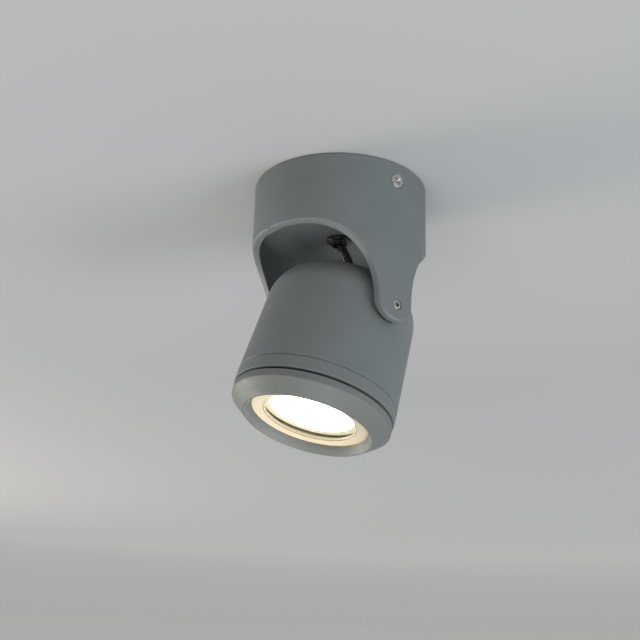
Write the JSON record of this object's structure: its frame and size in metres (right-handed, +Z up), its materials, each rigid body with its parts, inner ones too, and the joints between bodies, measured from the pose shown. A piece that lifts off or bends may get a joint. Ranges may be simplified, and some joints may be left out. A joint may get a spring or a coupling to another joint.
{
  "type": "surface mounted ceiling spotlight",
  "caption": "Round grey surface mounted ceiling spotlight: canopy with two ears, tilting cylindrical lamp head, bevelled front ring, glass and twist-lock reflector lamp.",
  "frame": {"origin": "centre of the ceiling face of the canopy, on the strap's upper face", "axes": "+Z up into the ceiling, X along the tilt axis through the two ears, the head tilts towards -Y at rest"},
  "size_m": [0.09, 0.0978, 0.1379],
  "materials": {
    "painted_grey": "die-cast, with a grey satin powder coat",
    "ring_satin": "turned, with a smooth satin grey metallic coat",
    "zinc_steel": "zinc plated",
    "stainless": "bright stainless",
    "black_rubber": "glossy black rubber",
    "clamp_ring_metal": "turned aluminium",
    "white_nylon": "natural nylon",
    "brass": "turned brass",
    "tinned_copper": "tinned",
    "green_yellow_core": "insulated core",
    "brown_core": "insulated core",
    "blue_core": "insulated core",
    "clear_glass": "clear toughened glass",
    "silicone_white": "translucent silicone",
    "lamp_white": "moulded lamp body",
    "lamp_lens": "lit clear lens",
    "led_board": "white board",
    "led_chip": "phosphor",
    "ceramic": "steatite ceramic"
  },
  "bodies": {
    "canopy_unit": {"ceiling_strap": "zinc_steel", "supply_grommet": "black_rubber", "canopy": "painted_grey", "canopy_side_screws": "stainless", "canopy_cable_bush": "black_rubber", "terminal_block": "white_nylon", "terminal_clamps": "brass", "terminal_screws": "brass", "terminal_block_screw": "zinc_steel", "canopy_ring_terminal": "tinned_copper", "canopy_earth_screw": "zinc_steel", "canopy_earth_bridge": "green_yellow_core", "canopy_live_core": "brown_core", "canopy_earth_core": "green_yellow_core", "canopy_neutral_core": "blue_core", "supply_cable": "black_rubber", "pivot_screws": "stainless", "friction_washers": "white_nylon"},
    "lamp_head": {"bracket_screws": "zinc_steel", "head_body": "painted_grey", "head_cable_bush": "black_rubber", "head_earth_core": "green_yellow_core", "head_earth_screw": "zinc_steel", "head_live_core": "brown_core", "head_neutral_core": "blue_core", "head_ring_terminal": "tinned_copper", "lamp_base": "lamp_white", "lamp_driver_board": "led_board", "lamp_led_board": "led_board", "lamp_led_chips": "led_chip", "lamp_lens": "lamp_lens", "lamp_pins": "brass", "lamp_shell": "lamp_white", "lampholder_body": "ceramic", "lampholder_bracket": "zinc_steel", "lampholder_contacts": "brass", "lampholder_cover": "ceramic", "lampholder_screws": "zinc_steel", "pivot_bushes": "brass", "ring_seal": "black_rubber"},
    "glass_unit": {"front_glass": "clear_glass", "glass_gasket": "silicone_white"},
    "ring_unit": {"front_ring": "ring_satin", "glass_clamp_ring": "clamp_ring_metal"}
  },
  "joints": [
    {"name": "head_tilt", "type": "hinge", "parent": "canopy_unit", "child": "lamp_head", "pos_m": [0, 0, -0.074], "axis": [1, 0, 0], "range_deg": [-72.8, 107.2], "deforming": ["supply_cable"]},
    {"name": "ring_advance", "type": "slide", "parent": "lamp_head", "child": "glass_unit", "axis": [0, -0.2957, -0.9553], "range_m": [0, 0.006]},
    {"name": "ring_turn", "type": "hinge", "parent": "glass_unit", "child": "ring_unit", "pos_m": [0, 0, -0.074], "axis": [0, -0.2957, -0.9553], "range_deg": [0, 1440]}
  ],
  "couplings": [
    {"joint": "ring_advance", "follows": "ring_turn", "m_per_rad": 0.00023873}
  ]
}
